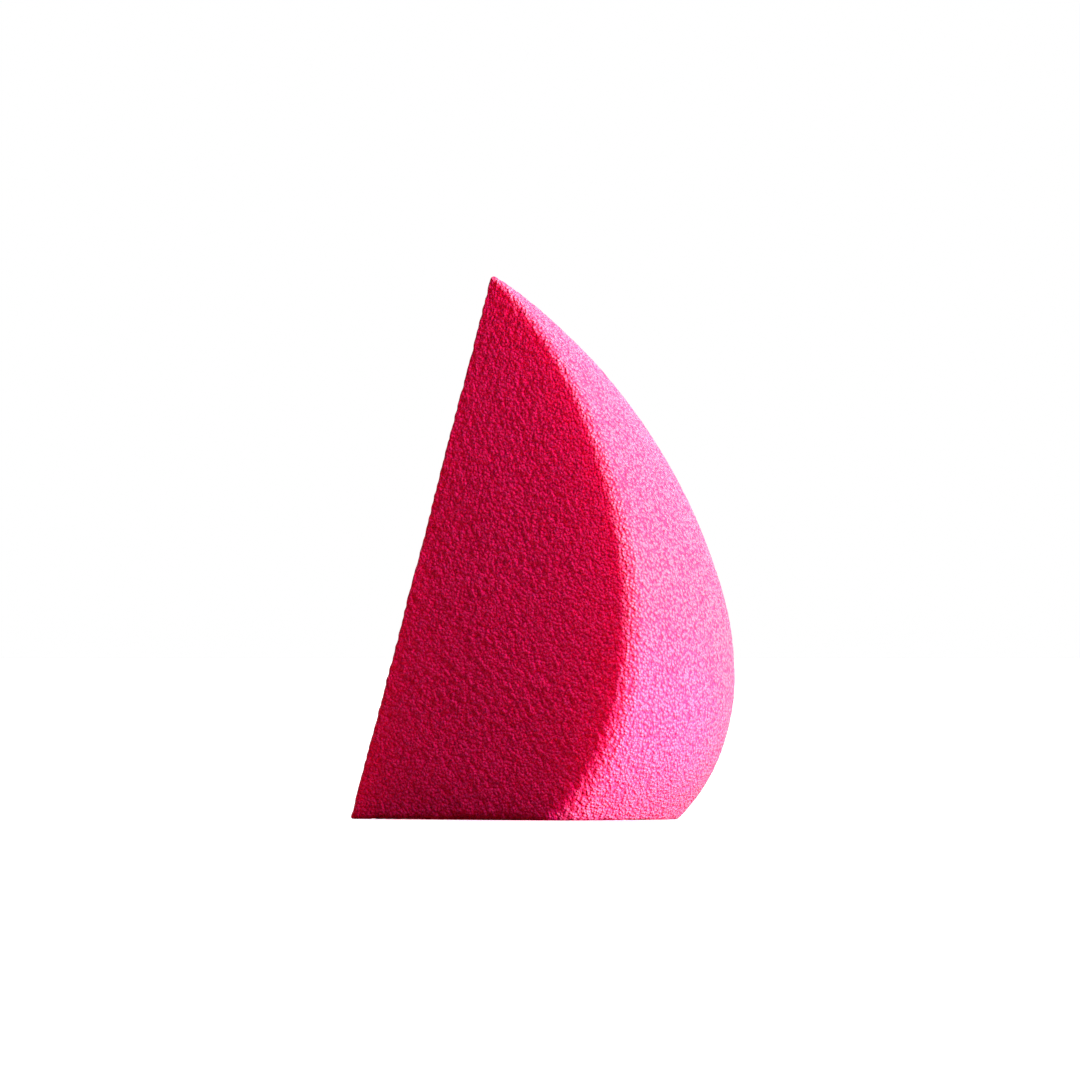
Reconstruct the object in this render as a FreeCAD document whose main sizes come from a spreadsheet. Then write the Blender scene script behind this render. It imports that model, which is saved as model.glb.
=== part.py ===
# Makeup sponge: a pointed drop of soft foam with a flat base, a round back and two flat sides that meet
# in one straight edge. A thin adhesive coat and a microfibre nap cover it on every side.
# Frame: +Z up, origin on the base under the axis of the round back, straight edge towards -X.
# The sponge is its own mirror image in the XZ plane.
import FreeCAD, Part
import math
import os
import Sketcher

Vector = FreeCAD.Vector

# Driving dimensions in millimetres and degrees
SIZES = {
    "tip_height": 60.5,  # from the base to the tip, before its edges are rounded
    "belly_radius": 27.5,  # the round back at its widest
    "belly_height": 15.4,  # where it is widest
    "lower_round": 22.2,  # arc from the base up to the belly
    "shoulder_round": 37.7,  # arc from the belly up to the shoulder
    "shoulder_rise": 11.1,  # the shoulder above the belly
    "edge_foot": 15.3,  # from the axis to the foot of the straight edge
    "edge_lead": 0.4,  # how far past the axis the straight edge ends, at the tip
    "flat_angle": 40.0,  # of each flat side from the mirror plane, seen from above
    "edge_round": 0.6,  # the nap rounds every edge of the sponge this much
    "flock_depth": 0.8,  # length of the nap's fibres
    "adhesive_depth": 0.15,  # between the fibres and the foam
}

# How far each form lies inside the sponge's outer surface
FLOCK_INSET = ""
ADHESIVE_INSET = "Sizes.flock_depth"
CORE_INSET = "(Sizes.flock_depth + Sizes.adhesive_depth)"

# The plan of the flat sides reaches this many belly radii from the axis, well clear of the sponge
REACH = 4

START, END, CENTRE = 1, 2, 3
ORIGIN, H_AXIS, V_AXIS = (-1, START), -1, -2


def add_sizes(doc):
    sheet = doc.addObject("Spreadsheet::Sheet", "Sizes")
    for row, (name, value) in enumerate(SIZES.items(), start=1):
        sheet.set(f"A{row}", name)
        sheet.set(f"B{row}", str(value))
        sheet.setAlias(f"B{row}", name)
    doc.recompute()


def add_sketch(body, name, role):
    plane = next(p for p in body.Origin.OriginFeatures if p.Role == role)
    sketch = body.newObject("Sketcher::SketchObject", name)
    sketch.AttachmentSupport = (plane, [""])
    sketch.MapMode = "FlatFace"
    return sketch


def add_arc(sketch, centre, radius, start_angle, end_angle):
    circle = Part.Circle(Vector(*centre, 0), Vector(0, 0, 1), radius)
    return sketch.addGeometry(Part.ArcOfCircle(circle, start_angle, end_angle))


def add_line(sketch, start, end):
    return sketch.addGeometry(Part.LineSegment(Vector(*start, 0), Vector(*end, 0)))


def constrain(sketch, *rules):
    for kind, *places in rules:
        sketch.addConstraint(Sketcher.Constraint(kind, *places))


# Each rule is a dimension's name, what it measures, its first value and the sizes that drive it
def dimension(sketch, *rules):
    for name, (kind, *places), value, expression in rules:
        index = sketch.addConstraint(Sketcher.Constraint(kind, *places, value))
        sketch.renameConstraint(index, name)
        sketch.setExpression(f"Constraints.{name}", expression)


# Half outline of the round form: the base, then three tangent arcs up to the axis.
# An inset outline keeps the arcs' centres and shortens their radii.
def add_outline(body, inset, outer_outline):
    belly_radius, belly_height = SIZES["belly_radius"], SIZES["belly_height"]
    lower_round, shoulder_round = SIZES["lower_round"], SIZES["shoulder_round"]
    tip_height, shoulder_rise = SIZES["tip_height"], SIZES["shoulder_rise"]
    base_angle = -math.asin(belly_height / lower_round)
    shoulder_angle = math.asin(shoulder_rise / shoulder_round)
    upper_round = tip_height
    lower_centre = (belly_radius - lower_round, belly_height)
    side_centre = (belly_radius - shoulder_round, belly_height)
    upper_centre = (
        side_centre[0] + (shoulder_round - upper_round) * math.cos(shoulder_angle),
        side_centre[1] + (shoulder_round - upper_round) * math.sin(shoulder_angle),
    )
    top_angle = math.acos(-upper_centre[0] / upper_round)
    rim = (lower_centre[0] + lower_round * math.cos(base_angle), 0)

    sketch = add_sketch(body, f"{body.Name}_outline", "XZ_Plane")
    base = add_line(sketch, (0, 0), rim)
    lower = add_arc(sketch, lower_centre, lower_round, base_angle, 0)
    side = add_arc(sketch, side_centre, shoulder_round, 0, shoulder_angle)
    upper = add_arc(sketch, upper_centre, upper_round, shoulder_angle, top_angle)
    axis = add_line(sketch, (0, tip_height), (0, 0))
    constrain(
        sketch,
        ("Coincident", base, END, lower, START),
        ("Tangent", lower, END, side, START),
        ("Tangent", side, END, upper, START),
        ("Coincident", upper, END, axis, START),
        ("Coincident", axis, END, base, START),
        ("Horizontal", base),
        ("Horizontal", lower, CENTRE, lower, END),
        ("Vertical", axis),
        ("PointOnObject", axis, START, V_AXIS),
    )
    less = f" - {inset}" if inset else ""
    shrink = f" * (1 - {inset} / Sizes.shoulder_round)" if inset else ""
    belly = (lower, END)
    shoulder = (side, END)
    dimension(
        sketch,
        ("belly_radius", ("DistanceX", *ORIGIN, *belly), belly_radius, f"Sizes.belly_radius{less}"),
        ("belly_height", ("DistanceY", *ORIGIN, *belly), belly_height, "Sizes.belly_height"),
        ("lower_round", ("Radius", lower), lower_round, f"Sizes.lower_round{less}"),
        ("shoulder_round", ("Radius", side), shoulder_round, f"Sizes.shoulder_round{less}"),
        (
            "shoulder_rise",
            ("DistanceY", *belly, *shoulder),
            shoulder_rise,
            f"Sizes.shoulder_rise{shrink}",
        ),
    )
    if inset:
        outer_round = f"{outer_outline.Name}.Constraints.upper_round / 1 mm"
        dimension(
            sketch,
            ("base_inset", ("DistanceY", *ORIGIN, base, START), SIZES["flock_depth"], inset),
            ("upper_round", ("Radius", upper), upper_round, outer_round + less),
        )
    else:
        tip = sketch.addGeometry(Part.Point(Vector(SIZES["edge_lead"], tip_height, 0)), True)
        constrain(
            sketch,
            ("PointOnObject", base, START, H_AXIS),
            ("PointOnObject", tip, START, upper),
        )
        dimension(
            sketch,
            ("edge_lead", ("DistanceX", *ORIGIN, tip, START), SIZES["edge_lead"], "Sizes.edge_lead"),
            ("tip_height", ("DistanceY", *ORIGIN, tip, START), tip_height, "Sizes.tip_height"),
        )
        measured = sketch.addConstraint(Sketcher.Constraint("Radius", upper, upper_round))
        sketch.renameConstraint(measured, "upper_round")
        sketch.setDriving(measured, False)
    return sketch


# Plan of what the two flat sides take away: everything outside a wedge that opens towards +X.
# Moving a flat in by the inset moves the wedge's corner by the inset over the sine of its angle,
# and a little more because the flats lean back along the straight edge.
def add_wedge_plan(body, inset):
    angle = math.radians(SIZES["flat_angle"])
    edge_foot = SIZES["edge_foot"]
    reach = REACH * SIZES["belly_radius"]
    half_width = (reach + edge_foot) * math.tan(angle)
    corner = (-edge_foot, 0)

    sketch = add_sketch(body, f"{body.Name}_wedge", "XY_Plane")
    left = add_line(sketch, corner, (reach, half_width))
    left_side = add_line(sketch, (reach, half_width), (-reach, half_width))
    ahead = add_line(sketch, (-reach, half_width), (-reach, -half_width))
    right_side = add_line(sketch, (-reach, -half_width), (reach, -half_width))
    right = add_line(sketch, (reach, -half_width), corner)
    loop = (left, left_side, ahead, right_side, right)
    for line, following in zip(loop, loop[1:] + loop[:1]):
        constrain(sketch, ("Coincident", line, END, following, START))
    constrain(
        sketch,
        ("Horizontal", left_side),
        ("Vertical", ahead),
        ("Horizontal", right_side),
        ("PointOnObject", left, START, H_AXIS),
        ("Symmetric", left, END, right, START, H_AXIS),
    )
    sine = "sin(Sizes.flat_angle * 1 deg)"
    lean = f"({sine} * (Sizes.edge_foot + Sizes.edge_lead) / Sizes.tip_height)"
    moved = f" - {inset} * sqrt(1 + {lean} ^ 2) / {sine}" if inset else ""
    far = f"{REACH} * Sizes.belly_radius"
    dimension(
        sketch,
        ("flat_angle", ("Angle", left), angle, "Sizes.flat_angle * 1 deg"),
        ("edge_foot", ("DistanceX", left, START, *ORIGIN), edge_foot, f"Sizes.edge_foot{moved}"),
        ("reach_back", ("DistanceX", *ORIGIN, left, END), reach, far),
        ("reach_ahead", ("DistanceX", left_side, END, *ORIGIN), reach, far),
    )
    return sketch


# The sponge's form, the given distance inside its outer surface: a turned drop, cut by the two flats
# along the slope of their straight edge.
def add_form(doc, name, inset, outer_outline=None):
    body = doc.addObject("PartDesign::Body", name)
    outline = add_outline(body, inset, outer_outline)
    turned = body.newObject("PartDesign::Revolution", f"{name}_turned")
    turned.Profile = outline
    turned.ReferenceAxis = (outline, ["V_Axis"])
    turned.Angle = 360
    doc.recompute()
    flats = body.newObject("PartDesign::Pocket", f"{name}_flats")
    flats.Profile = add_wedge_plan(body, inset)
    flats.Type = "ThroughAll"
    flats.UseCustomVector = True
    flats.setExpression("Direction.x", "Sizes.edge_foot + Sizes.edge_lead")
    flats.setExpression("Direction.y", "0")
    flats.setExpression("Direction.z", "Sizes.tip_height")
    doc.recompute()
    print(f"{name}: turned {turned.Shape.Volume:.0f} mm3, with its flats {flats.Shape.Volume:.0f} mm3")
    return body, outline


# Every edge round a plane face, which is every edge of the form that isn't smooth already
def round_edges(doc, body):
    sharp = body.Tip
    planes = [face for face in sharp.Shape.Faces if face.Surface.TypeId == "Part::GeomPlane"]
    borders = [edge for face in planes for edge in face.Edges]
    names = [
        f"Edge{number}"
        for number, edge in enumerate(sharp.Shape.Edges, start=1)
        if any(edge.isSame(border) for border in borders)
    ]
    rounded = body.newObject("PartDesign::Fillet", f"{body.Name}_rounded")
    rounded.Base = (sharp, names)
    rounded.setExpression("Radius", "Sizes.edge_round")
    doc.recompute()


def add_layer(doc, name, outside, inside):
    layer = doc.addObject("Part::Cut", name)
    layer.Base = outside
    layer.Tool = inside
    return layer


def check(doc, pieces):
    for thing in doc.Objects:
        if "Invalid" in thing.State or "Error" in thing.State:
            raise RuntimeError(f"{thing.Label} failed: {thing.State}")
    for piece in pieces:
        shape = piece.Shape
        if shape.isNull() or not shape.isValid() or len(shape.Solids) != 1:
            raise RuntimeError(f"{piece.Label} is not one sound solid")


def main():
    doc = FreeCAD.newDocument("MakeupSponge")
    add_sizes(doc)
    flock_form, outer_outline = add_form(doc, "flock_form", FLOCK_INSET)
    round_edges(doc, flock_form)
    adhesive_form, _ = add_form(doc, "adhesive_form", ADHESIVE_INSET, outer_outline)
    foam_core, _ = add_form(doc, "foam_core", CORE_INSET, outer_outline)
    pieces = [
        foam_core,
        add_layer(doc, "adhesive_coat", adhesive_form, foam_core),
        add_layer(doc, "flock_skin", flock_form, adhesive_form),
    ]
    doc.recompute()
    check(doc, pieces)
    os.makedirs("parts", exist_ok=True)
    for piece in pieces:
        piece.Shape.exportStep(f"parts/{piece.Label}.step")
        box = piece.Shape.optimalBoundingBox()
        print(
            f"{piece.Label}: {piece.Shape.Volume:.0f} mm3,"
            f" {box.XLength:.2f} x {box.YLength:.2f} x {box.ZLength:.2f} mm"
        )


main()
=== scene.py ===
import math
import bpy
import numpy as np
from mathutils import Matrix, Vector


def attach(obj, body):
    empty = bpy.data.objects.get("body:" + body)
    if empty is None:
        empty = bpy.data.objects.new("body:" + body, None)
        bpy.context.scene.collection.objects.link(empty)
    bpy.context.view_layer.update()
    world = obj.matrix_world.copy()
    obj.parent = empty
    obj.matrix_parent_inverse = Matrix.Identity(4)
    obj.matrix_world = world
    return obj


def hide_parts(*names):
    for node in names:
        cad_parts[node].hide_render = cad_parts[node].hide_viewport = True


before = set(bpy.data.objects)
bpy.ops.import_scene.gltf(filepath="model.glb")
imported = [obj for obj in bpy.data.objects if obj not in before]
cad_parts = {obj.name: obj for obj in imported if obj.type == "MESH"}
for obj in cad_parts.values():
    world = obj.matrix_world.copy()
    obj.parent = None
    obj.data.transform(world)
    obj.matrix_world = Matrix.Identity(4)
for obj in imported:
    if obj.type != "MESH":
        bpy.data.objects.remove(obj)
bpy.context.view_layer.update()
print("frame:", sorted(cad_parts))

# The sponge's form in metres: a turned drop on a flat base, cut by two flat sides that lean back from it
# and meet in one straight edge
form = {
    "tipHeight": 0.0605,
    "bellyRadius": 0.0275,
    "bellyHeight": 0.0154,
    "lowerRound": 0.0222,
    "shoulderRound": 0.0377,
    "shoulderRise": 0.0111,
    "edgeFoot": 0.0153,  # foot of the straight edge, from the axis
    "edgeLead": 0.0004,  # the tip, past the axis
    "flatAngle": 40.0,  # degrees from the mirror plane
    "heartHeight": 0.022,  # the grid's rays leave from here, under the tip
    "halvings": 36,  # of each ray, to find the surface on it
    "angleSteps": 4001,  # of the lines that space out the grid
    "slopeStep": 2e-6,  # to each side of a point, for its normal
}

flatAngle = math.radians(form["flatAngle"])
edgeLean = (form["edgeFoot"] + form["edgeLead"]) / form["tipHeight"]
flatNormal = np.array([-math.sin(flatAngle), math.cos(flatAngle), math.sin(flatAngle) * edgeLean])
flatNormal /= np.linalg.norm(flatNormal)
heart = np.array([form["edgeLead"], 0, form["heartHeight"]])

# Outline arcs: the lower and the side arc meet at the belly, and the upper arc goes on from the shoulder
# with the one radius that takes it through the tip
shoulderAngle = math.asin(form["shoulderRise"] / form["shoulderRound"])
shoulderWay = np.array([math.cos(shoulderAngle), math.sin(shoulderAngle)])
lowerCentre = np.array([form["bellyRadius"] - form["lowerRound"], form["bellyHeight"]])
sideCentre = np.array([form["bellyRadius"] - form["shoulderRound"], form["bellyHeight"]])
toTip = np.array([form["edgeLead"], form["tipHeight"]]) - sideCentre
pastShoulder = toTip - form["shoulderRound"] * shoulderWay
upperRound = pastShoulder @ pastShoulder / (2 * (form["shoulderRound"] - toTip @ shoulderWay))
upperCentre = sideCentre + (form["shoulderRound"] - upperRound) * shoulderWay


# The larger of two distances, with a quarter circle of the given radius in place of their corner
def roundedMax(first, second, radius):
    first = first + radius
    second = second + radius
    inside = np.minimum(np.maximum(first, second), 0)
    return inside + np.hypot(np.maximum(first, 0), np.maximum(second, 0)) - radius


# Distance outside the turned drop: from the centre of the arc at that place, less the arc's radius
def dropDistance(across, height):
    above = height - form["bellyHeight"]
    lower = np.hypot(across - lowerCentre[0], above) - form["lowerRound"]
    side = np.hypot(across - sideCentre[0], above) - form["shoulderRound"]
    upper = np.hypot(across - upperCentre[0], height - upperCentre[1]) - upperRound
    onSide = np.arctan2(above, across - sideCentre[0]) < shoulderAngle
    return np.where(above < 0, lower, np.where(onSide, side, upper))


# Distance outside the whole sponge: the drop, the two flats and the base, each corner rounded.
# The ridge between a flat and the round back gets crisper from the belly up to the tip.
def spongeDistance(points, rounding):
    x, y, z = np.moveaxis(points, -1, 0)
    leaning = flatNormal[0] * (x + form["edgeFoot"]) + flatNormal[2] * z
    flats = roundedMax(leaning + flatNormal[1] * y, leaning - flatNormal[1] * y, rounding["edge"])
    rise = np.clip(z / form["tipHeight"], 0, 1)
    ridge = rounding["ridge"] + (rounding["tip"] - rounding["ridge"]) * rise**2
    sides = roundedMax(flats, dropDistance(np.hypot(x, y), z), ridge)
    return roundedMax(sides, -z, rounding["base"])


# Where rays from the heart leave the surface that lies the given depth inside the sponge, by halving
def alongRays(ways, depth, rounding):
    near = np.zeros(ways.shape[:-1])
    far = np.full(ways.shape[:-1], form["tipHeight"])
    for _ in range(form["halvings"]):
        middle = (near + far) / 2
        outside = spongeDistance(heart + middle[..., None] * ways, rounding) + depth > 0
        near = np.where(outside, near, middle)
        far = np.where(outside, middle, far)
    return heart + far[..., None] * ways


# Unit rays: turn is the angle about the upright, drop the angle down from the tip
def rayWays(turn, drop):
    turn, drop = np.broadcast_arrays(turn, drop)
    return np.stack([np.sin(drop) * np.cos(turn), np.sin(drop) * np.sin(turn), np.cos(drop)], axis=-1)


# The angles that split a line of points into equal lengths
def evenAngles(angles, line, count):
    steps = np.linalg.norm(np.diff(line, axis=0), axis=1)
    length = np.concatenate([[0], np.cumsum(steps)])
    return np.interp(np.linspace(0, length[-1], count), length, angles)


# A closed grid over the sponge: rings of points from the tip down to the middle of the base, then those
# two poles. Columns are even along the belt at the heart's height, and rings along the mean of four falls.
def spongeGrid(rings, columns, depth, rounding):
    turns = np.linspace(0, 2 * math.pi, form["angleSteps"])
    drops = np.linspace(0, math.pi, form["angleSteps"])
    quarters = np.arange(4)[:, None] * math.pi / 2
    belt = alongRays(rayWays(turns, math.pi / 2), depth, rounding)
    falls = alongRays(rayWays(quarters, drops), depth, rounding)
    turn = evenAngles(turns, belt, columns + 1)[:-1]
    drop = np.mean([evenAngles(drops, fall, rings + 2) for fall in falls], axis=0)[1:-1]
    grid = alongRays(rayWays(turn, drop[:, None]), depth, rounding)
    poles = alongRays(np.array([[0.0, 0, 1], [0.0, 0, -1]]), depth, rounding)
    return np.concatenate([grid.reshape(-1, 3), poles])


# Outward unit normals: the slope of the distance along each axis
def outward(points, rounding):
    step = form["slopeStep"]
    slopes = [
        spongeDistance(points + step * axis, rounding) - spongeDistance(points - step * axis, rounding)
        for axis in np.eye(3)
    ]
    normals = np.stack(slopes, axis=-1)
    return normals / np.linalg.norm(normals, axis=-1, keepdims=True)


# Sum of waves of random direction and phase, with lengths in a range, squeezed into -1 to 1. The piece's
# dictionary holds their number, seed and lengths under the name of what they make.
def randomWaves(points, look, name):
    count = look[name + "Waves"]
    draw = np.random.default_rng(look[name + "Seed"])
    ways = draw.normal(size=(count, 3))
    ways /= np.linalg.norm(ways, axis=1, keepdims=True)
    turns = 2 * math.pi / draw.uniform(look[name + "Shortest"], look[name + "Longest"], count)
    starts = draw.uniform(0, 2 * math.pi, count)
    total = np.zeros(len(points))
    for way, turn, start in zip(ways, turns, starts):
        total += np.cos(points @ way * turn + start)
    return np.tanh(total / math.sqrt(count))


# Faces of a closed grid, turned outwards, and the places of their corners on a map of ring by column
def gridFaces(rings, columns):
    column = np.arange(columns)
    after = (column + 1) % columns
    ring = np.arange(rings - 1)[:, None]
    above, below = ring * columns, (ring + 1) * columns
    quads = np.stack([above + column, below + column, below + after, above + after], axis=-1)
    left = np.broadcast_to(column / columns, (rings - 1, columns))
    right = np.broadcast_to((column + 1) / columns, (rings - 1, columns))
    high = np.broadcast_to(1 - (ring + 1) / (rings + 1), left.shape)
    low = np.broadcast_to(1 - (ring + 2) / (rings + 1), left.shape)
    quadMap = np.stack([left, high, left, low, right, low, right, high], axis=-1)
    tip, foot = rings * columns, rings * columns + 1
    last = (rings - 1) * columns
    caps = np.concatenate([
        np.stack([np.full(columns, tip), column, after], axis=-1),
        np.stack([np.full(columns, foot), last + after, last + column], axis=-1),
    ])
    middle = (column + 0.5) / columns
    first, final = np.full(columns, 1 - 1 / (rings + 1)), np.full(columns, 1 / (rings + 1))
    left, right = column / columns, (column + 1) / columns
    capMap = np.concatenate([
        np.stack([middle, np.ones(columns), left, first, right, first], axis=-1),
        np.stack([middle, np.zeros(columns), right, final, left, final], axis=-1),
    ])
    return quads.reshape(-1, 4), caps, quadMap.reshape(-1, 2), capMap.reshape(-1, 2)


def linkThing(name, data):
    thing = bpy.data.objects.new(name, data)
    bpy.context.scene.collection.objects.link(thing)
    return thing


# One mesh of one or more closed grids, each given as its points, its rings and columns, whether it faces
# inwards, and its lowest and highest line on the map
def makePiece(name, grids):
    points, quads, caps, quadMaps, capMaps = [], [], [], [], []
    start = 0
    for grid, rings, columns, inward, (mapLow, mapHigh) in grids:
        gridQuads, gridCaps, quadMap, capMap = gridFaces(rings, columns)
        scale, shift = np.array([1, mapHigh - mapLow]), np.array([0, mapLow])
        quadMap, capMap = quadMap * scale + shift, capMap * scale + shift
        if inward:
            gridQuads, gridCaps = gridQuads[:, ::-1], gridCaps[:, ::-1]
            quadMap = quadMap.reshape(-1, 4, 2)[:, ::-1].reshape(-1, 2)
            capMap = capMap.reshape(-1, 3, 2)[:, ::-1].reshape(-1, 2)
        points.append(grid)
        quads.append(gridQuads + start)
        caps.append(gridCaps + start)
        quadMaps.append(quadMap)
        capMaps.append(capMap)
        start += len(grid)
    points, quads, caps = np.concatenate(points), np.concatenate(quads), np.concatenate(caps)
    corners = np.concatenate([quads.ravel(), caps.ravel()])
    firstCorners = np.concatenate([np.arange(len(quads)) * 4, quads.size + np.arange(len(caps)) * 3])
    mesh = bpy.data.meshes.new(name)
    mesh.vertices.add(len(points))
    mesh.vertices.foreach_set("co", points.astype(np.float32).ravel())
    mesh.loops.add(len(corners))
    mesh.loops.foreach_set("vertex_index", corners.astype(np.int32))
    mesh.polygons.add(len(firstCorners))
    mesh.polygons.foreach_set("loop_start", firstCorners.astype(np.int32))
    mesh.polygons.foreach_set("use_smooth", np.ones(len(firstCorners), bool))
    mesh.update(calc_edges=True)
    surfaceMap = mesh.uv_layers.new(name="OFBake")  # a map of ring by column over the whole surface
    surfaceMap.uv.foreach_set("vector", np.concatenate(quadMaps + capMaps).astype(np.float32).ravel())
    print(f"{name}: {len(points)} points, {2 * len(quads) + len(caps)} triangles")
    return linkThing(name, mesh)


# Heights from -1 to 1, kept on the piece's points as 0 to 1 for its material
def keepHeights(piece, name, heights):
    store = piece.data.attributes.new(name, "FLOAT", "POINT")
    store.data.foreach_set("value", (0.5 + 0.5 * heights).astype(np.float32))


def setInputs(node, values):
    for socket, value in values.items():
        node.inputs[socket].default_value = value


# A node with the values and the links of its inputs, each input by its name or number
def addNode(tree, kind, values=None, links=None):
    node = tree.nodes.new(kind)
    setInputs(node, values or {})
    for socket, source in (links or {}).items():
        tree.links.new(source, node.inputs[socket])
    return node


def addMath(tree, operation, values, links):
    node = addNode(tree, "ShaderNodeMath", values, links)
    node.operation = operation
    return node.outputs[0]


def mixTones(tree, share, first, second):
    return addNode(tree, "ShaderNodeMix", {"Factor": share}, {"A": first, "B": second}).outputs["Result"]


def readHeights(tree, name):
    node = addNode(tree, "ShaderNodeAttribute")
    node.attribute_name = name
    return node.outputs["Fac"]


def objectPlace(tree):
    return addNode(tree, "ShaderNodeTexCoord").outputs["Object"]


def newMaterial(name):
    material = bpy.data.materials.new(name)
    material.use_nodes = True
    tree = material.node_tree
    return material, tree, tree.nodes["Principled BSDF"]


# Colours along a tone, and bumps where the height changes, as the piece's dictionary says
def dressShader(tree, shader, look, tone, height):
    ramp = addNode(tree, "ShaderNodeValToRGB", {}, {"Fac": tone})
    band = ramp.color_ramp
    while len(band.elements) < len(look["tones"]):
        band.elements.new(0.5)
    for element, (place, colour) in zip(band.elements, look["tones"]):
        element.position = place
        element.color = (*colour, 1)
    bumpLook = {"Strength": look["bump"], "Distance": look["bumpDepth"]}
    bump = addNode(tree, "ShaderNodeBump", bumpLook, {"Height": height})
    tree.links.new(ramp.outputs["Color"], shader.inputs["Base Color"])
    tree.links.new(bump.outputs["Normal"], shader.inputs["Normal"])
    setInputs(shader, {"Roughness": look["roughness"], "Specular IOR Level": look["specular"]})


# Flocked nap: the outer skin, with its tufts as relief
nap = {
    "rings": 400,
    "columns": 560,
    "depth": 0.0008,  # fibre length, from the surface to the coat
    "rounding": {"edge": 0.0007, "ridge": 0.0018, "tip": 0.0005, "base": 0.0003},
    "tuftShortest": 0.00080,
    "tuftLongest": 0.00140,
    "tuftWaves": 90,
    "tuftSeed": 11,
    "tuftHeight": 0.00006,
    "swellShortest": 0.008,
    "swellLongest": 0.020,
    "swellWaves": 24,
    "swellSeed": 12,
    "swellHeight": 0.00006,
    "grainPerMetre": 2800,
    "grainTurn": (0.6, 0.9, 0.4),  # keeps the grain's own lattice off the flat sides
    "fibrePerMetre": 5200,
    "fibreDetail": 1,
    "fibreShare": 0.35,
    "tuftShare": 0.1,
    "tones": (
        (0.34, (0.78, 0.080, 0.265)),  # gaps between the tufts, darker there as painted shade
        (0.48, (0.95, 0.188, 0.36)),
        (0.64, (1.0, 0.455, 0.56)),  # crests of the tufts
    ),
    "bump": 1.0,
    "bumpDepth": 0.00062,
    "roughness": 0.95,
    "specular": 0.0,
    "subsurface": 0.36,
    "scatter": (1.0, 0.01, 0.012),
    "scatterLength": 0.015,
    "sheen": 0.4,
    "sheenTint": (1.0, 0.62, 0.88),
    "sheenRoughness": 0.65,
}


# Nap tone: one less the distance to the nearest cell's centre, with the noise of single fibres mixed in and
# then a little of the relief's tufts. It goes from deep red in the gaps, darker there as painted shade
# between the tufts, to pale pink on the crests. The bump's height is the same without the relief. Red light
# scatters far into the nap, the rest hardly.
def napMaterial():
    material, tree, shader = newMaterial("flockNap")
    turn = {"Rotation": nap["grainTurn"]}
    turned = addNode(tree, "ShaderNodeMapping", turn, {"Vector": objectPlace(tree)}).outputs[0]
    cells = addNode(tree, "ShaderNodeTexVoronoi", {"Scale": nap["grainPerMetre"]}, {"Vector": turned})
    grain = addMath(tree, "SUBTRACT", {0: 1.0}, {1: cells.outputs["Distance"]})
    fibreLook = {"Scale": nap["fibrePerMetre"], "Detail": nap["fibreDetail"]}
    fibre = addNode(tree, "ShaderNodeTexNoise", fibreLook, {"Vector": turned})
    fine = mixTones(tree, nap["fibreShare"], grain, fibre.outputs["Fac"])
    # the tone is darker in the gaps between tufts: painted shade
    tone = mixTones(tree, nap["tuftShare"], fine, readHeights(tree, "tuft"))
    dressShader(tree, shader, nap, tone, fine)
    setInputs(shader, {
        "Subsurface Weight": nap["subsurface"],
        "Subsurface Radius": nap["scatter"],
        "Subsurface Scale": nap["scatterLength"],
        "Sheen Weight": nap["sheen"],
        "Sheen Roughness": nap["sheenRoughness"],
        "Sheen Tint": (*nap["sheenTint"], 1),
    })
    return material


# Nap surface: the smooth form, moved along its normals by short waves for the tufts and long ones for the
# swell
def makeNap():
    rings, columns = nap["rings"], nap["columns"]
    smooth = spongeGrid(rings, columns, 0, nap["rounding"])
    tufts = randomWaves(smooth, nap, "tuft")
    swell = randomWaves(smooth, nap, "swell")
    relief = nap["tuftHeight"] * tufts + nap["swellHeight"] * swell
    skin = smooth + relief[:, None] * outward(smooth, nap["rounding"])
    skin[:, 2] = np.maximum(skin[:, 2], 0)  # tufts are pressed flat on what the sponge stands on
    piece = makePiece("flockNap", [(skin, rings, columns, False, (0, 1))])
    keepHeights(piece, "tuft", tufts)
    piece.data.materials.append(napMaterial())
    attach(piece, "root")
    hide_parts("flock_skin")


# Thin coat under the nap
coat = {
    "rings": 120,
    "columns": 170,
    "rounding": {"edge": 0.0003, "ridge": 0.0006, "tip": 0.0003, "base": 0.0003},
    "depth": 0.00015,
    "clearance": 0.00002,
    "patchPerMetre": 350,
    "patchDetail": 4,
    "patchRoughness": 0.5,
    "tones": (
        (0.3, (0.72, 0.034, 0.17)),
        (0.7, (0.80, 0.06, 0.24)),
    ),
    "bump": 0.3,
    "bumpDepth": 0.00005,
    "roughness": 0.55,
    "specular": 0.5,
}


# Coat tone: patches of soft noise, which are the bump's height too
def coatMaterial():
    material, tree, shader = newMaterial("adhesiveCoat")
    patchLook = {
        "Scale": coat["patchPerMetre"],
        "Detail": coat["patchDetail"],
        "Roughness": coat["patchRoughness"],
    }
    patch = addNode(tree, "ShaderNodeTexNoise", patchLook, {"Vector": objectPlace(tree)}).outputs["Fac"]
    dressShader(tree, shader, coat, patch, patch)
    return material


# Coat surface: two skins of the sponge's form at its outer and inner depth, the inner one facing in
def makeCoat():
    rings, columns = coat["rings"], coat["columns"]
    outer = spongeGrid(rings, columns, nap["depth"] + coat["clearance"], coat["rounding"])
    inner = spongeGrid(rings, columns, nap["depth"] + coat["depth"], coat["rounding"])
    piece = makePiece(
        "adhesiveCoat",
        [(outer, rings, columns, False, (0.5, 1)), (inner, rings, columns, True, (0, 0.5))],
    )
    piece.data.materials.append(coatMaterial())
    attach(piece, "root")
    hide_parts("adhesive_coat")


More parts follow.
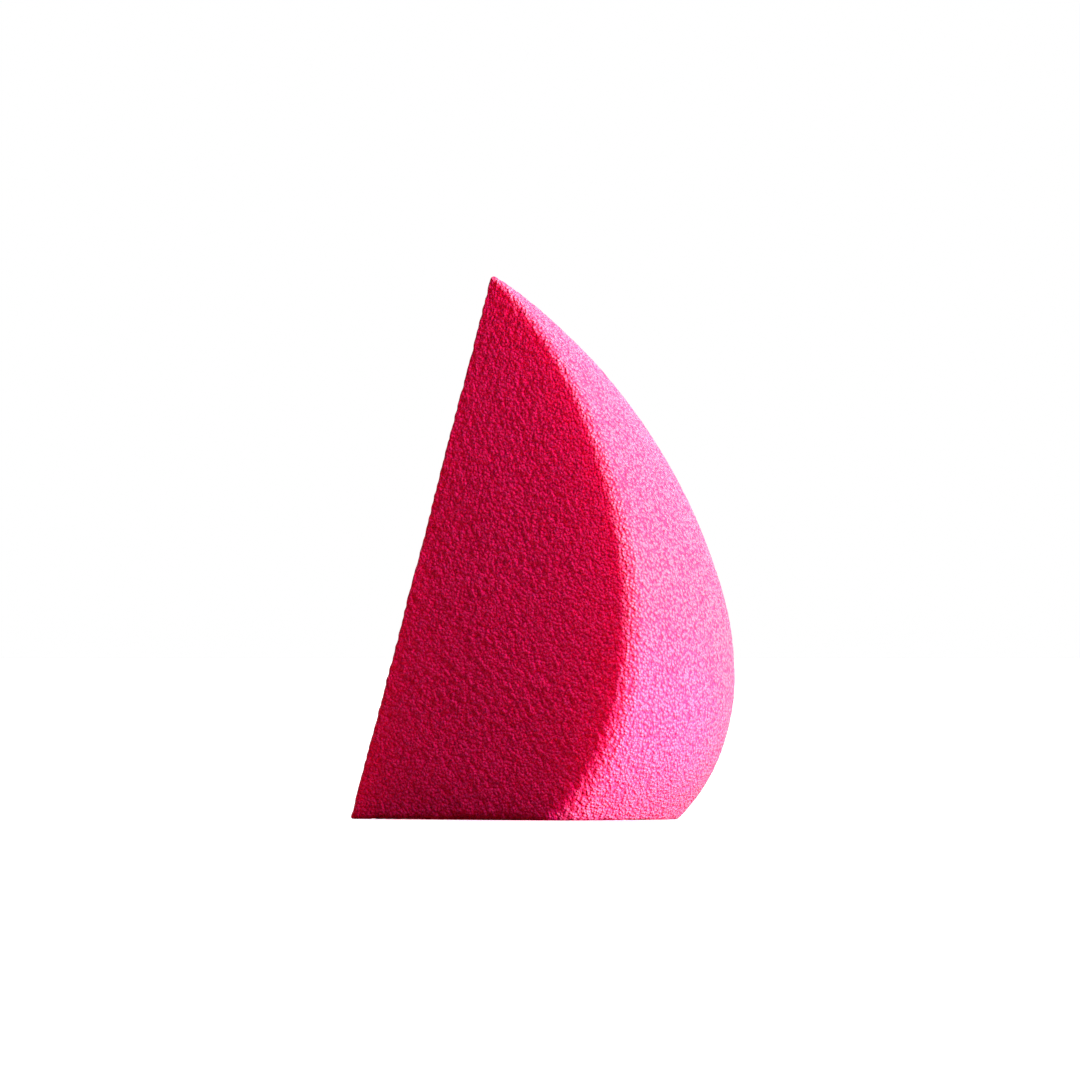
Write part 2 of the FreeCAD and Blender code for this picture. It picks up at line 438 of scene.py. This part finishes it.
# Foam inside the coat
core = {
    "rings": 200,
    "columns": 280,
    "cellShortest": 0.0012,
    "cellLongest": 0.0022,
    "cellWaves": 60,
    "cellSeed": 21,
    "cellDepth": 0.00012,
    "poresPerMetre": 1800,
    "poreRandomness": 1.0,
    "poreShare": 0.35,
    "tones": (
        (0.15, (0.83, 0.060, 0.26)),
        (0.85, (0.92, 0.16, 0.42)),
    ),
    "bump": 0.6,
    "bumpDepth": 0.0002,
    "roughness": 0.9,
    "specular": 0.1,
}


# Foam tone: the cells of the relief, mixed with the distance to the nearest pore's centre, which is the
# bump's height too
def coreMaterial():
    material, tree, shader = newMaterial("cutFoam")
    poreLook = {"Scale": core["poresPerMetre"], "Randomness": core["poreRandomness"]}
    pore = addNode(tree, "ShaderNodeTexVoronoi", poreLook, {"Vector": objectPlace(tree)})
    pores = pore.outputs["Distance"]
    tone = mixTones(tree, core["poreShare"], readHeights(tree, "cell"), pores)
    dressShader(tree, shader, core, tone, pores)
    return material


# Foam surface: the sponge's form just inside the coat, pitted inwards along its normals by its open cells
def makeCore():
    rings, columns = core["rings"], core["columns"]
    depth = nap["depth"] + coat["depth"] + coat["clearance"]
    smooth = spongeGrid(rings, columns, depth, coat["rounding"])
    cells = randomWaves(smooth, core, "cell")
    pits = core["cellDepth"] * (0.5 * cells - 0.5)
    foam = smooth + pits[:, None] * outward(smooth, coat["rounding"])
    piece = makePiece("foamCore", [(foam, rings, columns, False, (0, 1))])
    keepHeights(piece, "cell", cells)
    piece.data.materials.append(coreMaterial())
    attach(piece, "root")
    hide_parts("foam_core")


# Floor, light and camera
studio = {
    "floorHalf": 4.0,
    "floorColour": (0.86, 0.86, 0.86),
    "floorGlow": 0.55,  # what the camera sees of the floor besides its lit colour
    "floorBounce": (0.28, 0.012, 0.05),  # what the floor sends back to the sponge
    # Lamps: way from the sponge and strength on it. The far ones have degrees across, the near ones the
    # place that they aim at, metres off and metres across, and the narrow one the degrees of its cone and
    # the share of it that fades out too.
    "keyLight": {"way": (0.90, -0.40, 0.30), "strength": 4.8, "angle": 20.0},
    "backLight": {"way": (-0.15, 0.80, 0.58), "strength": 3.6, "angle": 40.0},
    "sideLight": {
        "way": (0.60, -0.70, 0.66),
        "strength": 4.2,
        "aim": (0.0, 0.0, 0.03),
        "away": 0.13,
        "across": 0.03,
        "colour": (1.0, 0.03, 0.255),
    },
    "lowLight": {
        "way": (0.74, -0.67, 0.05),
        "strength": 5.4,
        "aim": (0.012, -0.015, 0.002),
        "away": 0.08,
        "across": 0.01,
        "cone": 38.0,
        "fade": 1.0,
        "colour": (1.0, 0.001, 0.28),
    },
    "fill": 0.002,
    "white": (1, 1, 1, 1),
    "cameraAway": 3.0,
    "viewMiddle": (0.0060, 0.0309),  # x and z
    "viewWidth": 0.11966,
    "viewReach": 100.0,
    "sensor": 36.0,  # millimetres
}


# Light Path rays that see the pale surroundings as a plain picture
def seenRays(tree):
    path = addNode(tree, "ShaderNodeLightPath").outputs
    mirrored = addMath(tree, "MAXIMUM", {}, {0: path["Is Glossy Ray"], 1: path["Is Transmission Ray"]})
    return addMath(tree, "MAXIMUM", {}, {0: path["Is Camera Ray"], 1: mirrored})


# What those rays see in place of what lights the sponge
def showInstead(tree, plain, shown, output):
    links = {"Fac": seenRays(tree), 1: plain.outputs[0], 2: shown.outputs[0]}
    mixed = addNode(tree, "ShaderNodeMixShader", {}, links)
    tree.links.new(mixed.outputs[0], tree.nodes[output].inputs["Surface"])


def makeFloor():
    half = studio["floorHalf"]
    mesh = bpy.data.meshes.new("floor")
    corners = [(-half, -half, 0), (half, -half, 0), (half, half, 0), (-half, half, 0)]
    mesh.from_pydata(corners, [], [(0, 1, 2, 3)])
    floor = linkThing("floor", mesh)
    material, tree, shader = newMaterial("paleFloor")
    plain = addNode(tree, "ShaderNodeBsdfDiffuse", {"Color": (*studio["floorBounce"], 1)})
    lit = addNode(tree, "ShaderNodeBsdfDiffuse", {"Color": (*studio["floorColour"], 1)})
    glow = addNode(tree, "ShaderNodeEmission", {"Strength": studio["floorGlow"]})
    pale = addNode(tree, "ShaderNodeAddShader", {}, {0: lit.outputs[0], 1: glow.outputs[0]})
    showInstead(tree, plain, pale, "Material Output")
    tree.nodes.remove(shader)
    mesh.materials.append(material)
    print("floor:", 2 * half, "m across")


def placeLamp(name, lamp, aim, away):
    light = linkThing(name, lamp)
    way = Vector(studio[name]["way"]).normalized()
    light.location = Vector(aim) + away * way
    light.rotation_mode = "QUATERNION"
    light.rotation_quaternion = way.to_track_quat("Z", "Y")
    light.visible_camera = False
    print(f"{name}: {lamp.energy:.3f}")


# A white lamp so far off that the sponge and the floor get the same light all over, so only its way counts
def addFarLamp(name):
    look = studio[name]
    lamp = bpy.data.lights.new(name, "SUN")
    lamp.energy = look["strength"]
    lamp.angle = math.radians(look["angle"])
    placeLamp(name, lamp, (0, 0, 0), 1)


# A round lamp close by, tinted as light that has passed through the foam. Its power is the strength that
# reaches the sponge times pi times the distance squared.
def addNearLamp(name):
    look = studio[name]
    lamp = bpy.data.lights.new(name, "AREA")
    lamp.shape = "DISK"
    lamp.size = look["across"]
    lamp.energy = look["strength"] * math.pi * look["away"] ** 2
    lamp.color = look["colour"]
    placeLamp(name, lamp, look["aim"], look["away"])


# A lamp like that one with a cone of light, for the foot alone. Its power is counted as if it shone all
# round, so it is the strength times four pi times the distance squared.
def addNarrowLamp(name):
    look = studio[name]
    lamp = bpy.data.lights.new(name, "SPOT")
    lamp.shadow_soft_size = look["across"] / 2
    lamp.spot_size = math.radians(look["cone"])
    lamp.spot_blend = look["fade"]
    lamp.energy = look["strength"] * 4 * math.pi * look["away"] ** 2
    lamp.color = look["colour"]
    placeLamp(name, lamp, look["aim"], look["away"])


def makeLight():
    addFarLamp("keyLight")
    addFarLamp("backLight")
    addNearLamp("sideLight")
    addNarrowLamp("lowLight")
    world = bpy.data.worlds.new("studio")
    world.use_nodes = True
    bpy.context.scene.world = world
    tree = world.node_tree
    fill = tree.nodes["Background"]
    setInputs(fill, {"Color": studio["white"], "Strength": studio["fill"]})
    backdrop = addNode(tree, "ShaderNodeBackground", {"Color": studio["white"], "Strength": 1.0})
    showInstead(tree, fill, backdrop, "World Output")


# Camera level with the sponge, with the lens that fits the width of the view at its distance
def makeCamera():
    lens = bpy.data.cameras.new("camera")
    lens.sensor_width = studio["sensor"]
    lens.lens = studio["sensor"] * studio["cameraAway"] / studio["viewWidth"]
    lens.clip_end = studio["viewReach"]
    camera = linkThing("camera", lens)
    across, up = studio["viewMiddle"]
    camera.location = (across, -studio["cameraAway"], up)
    camera.rotation_euler = (math.pi / 2, 0, 0)
    bpy.context.scene.camera = camera
    print(f"camera: {lens.lens:.0f} mm lens")


makeNap()
makeCoat()
makeCore()
makeFloor()
makeLight()
makeCamera()
bpy.context.scene.view_settings.view_transform = "Standard"
